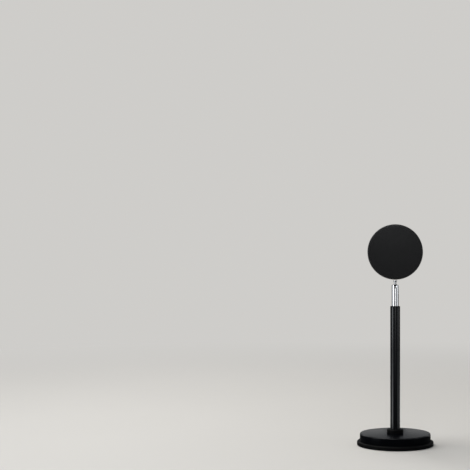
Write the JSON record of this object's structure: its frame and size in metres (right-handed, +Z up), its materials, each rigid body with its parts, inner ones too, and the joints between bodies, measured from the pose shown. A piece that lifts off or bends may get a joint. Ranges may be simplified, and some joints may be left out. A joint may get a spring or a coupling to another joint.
{
  "type": "sunset projection lamp",
  "caption": "Table lamp that projects a round coloured disc of light: weighted round foot, slim pole, slotted chrome ball joint and a drum-shaped head with a domed front lens.",
  "frame": {"origin": "centre of the foot pad's underside, on the table under the pole's axis", "axes": "+Z up along the pole, +Y the way the lens looks with the head at rest, +X to the right seen from behind"},
  "size_m": [0.093, 0.093, 0.2685],
  "materials": {
    "pad_rubber": "matte",
    "black_plastic": "satin",
    "black_paint": "satin",
    "black_alloy": "matte",
    "bare_alloy": "satin",
    "iron": "matte",
    "steel": "satin",
    "chrome": "polished",
    "brass": "satin",
    "nylon": "satin",
    "green_board": "satin",
    "white_board": "satin",
    "phosphor": "satin",
    "dark_parts": "matte",
    "lead_sleeve": "satin",
    "clear_glass": "polished",
    "amber_glass": "polished"
  },
  "bodies": {
    "stand": {"foot_pad": "pad_rubber", "base_tray": "black_plastic", "counterweight": "iron", "base_cover": "black_paint", "tray_screws": "steel", "pole_bolt": "steel", "bolt_washer": "steel", "pole_foot_plug": "brass", "pole_tube": "black_paint", "pole_collar": "black_plastic", "pole_top_cap": "black_plastic", "socket_spigot": "steel"},
    "socket": {"ball_socket": "chrome", "disc_springs": "steel", "ball_seat": "nylon"},
    "stud": {"ball_stud": "chrome", "stud_washer": "steel", "stud_nut": "steel"},
    "head": {"head_barrel": "black_alloy", "rear_cap": "black_alloy", "driver_board": "green_board", "driver_parts": "dark_parts", "driver_screws": "steel", "heat_sink": "bare_alloy", "led_board": "white_board", "led_chip": "phosphor", "led_screws": "steel", "led_leads": "lead_sleeve", "lens_holder": "black_plastic", "holder_screws": "steel", "condenser_lens": "clear_glass", "aperture_ring": "black_plastic", "colour_filter": "amber_glass", "filter_retainer": "black_plastic", "front_bezel": "black_alloy", "lens_gasket": "pad_rubber", "front_lens": "clear_glass", "lens_retainer": "black_plastic", "cable_gland": "pad_rubber"}
  },
  "joints": [
    {"name": "socket_swivel", "type": "hinge", "parent": "stand", "child": "socket", "pos_m": [0, 0, 0.1691], "axis": [0, 0, 1], "continuous": true},
    {"name": "head_tilt", "type": "hinge", "parent": "socket", "child": "stud", "pos_m": [0, 0, 0.1926], "axis": [1, 0, 0], "range_deg": [-30, 90]},
    {"name": "head_spin", "type": "hinge", "parent": "stud", "child": "head", "pos_m": [0, 0, 0.2025], "axis": [0, 0, 1], "continuous": true}
  ]
}
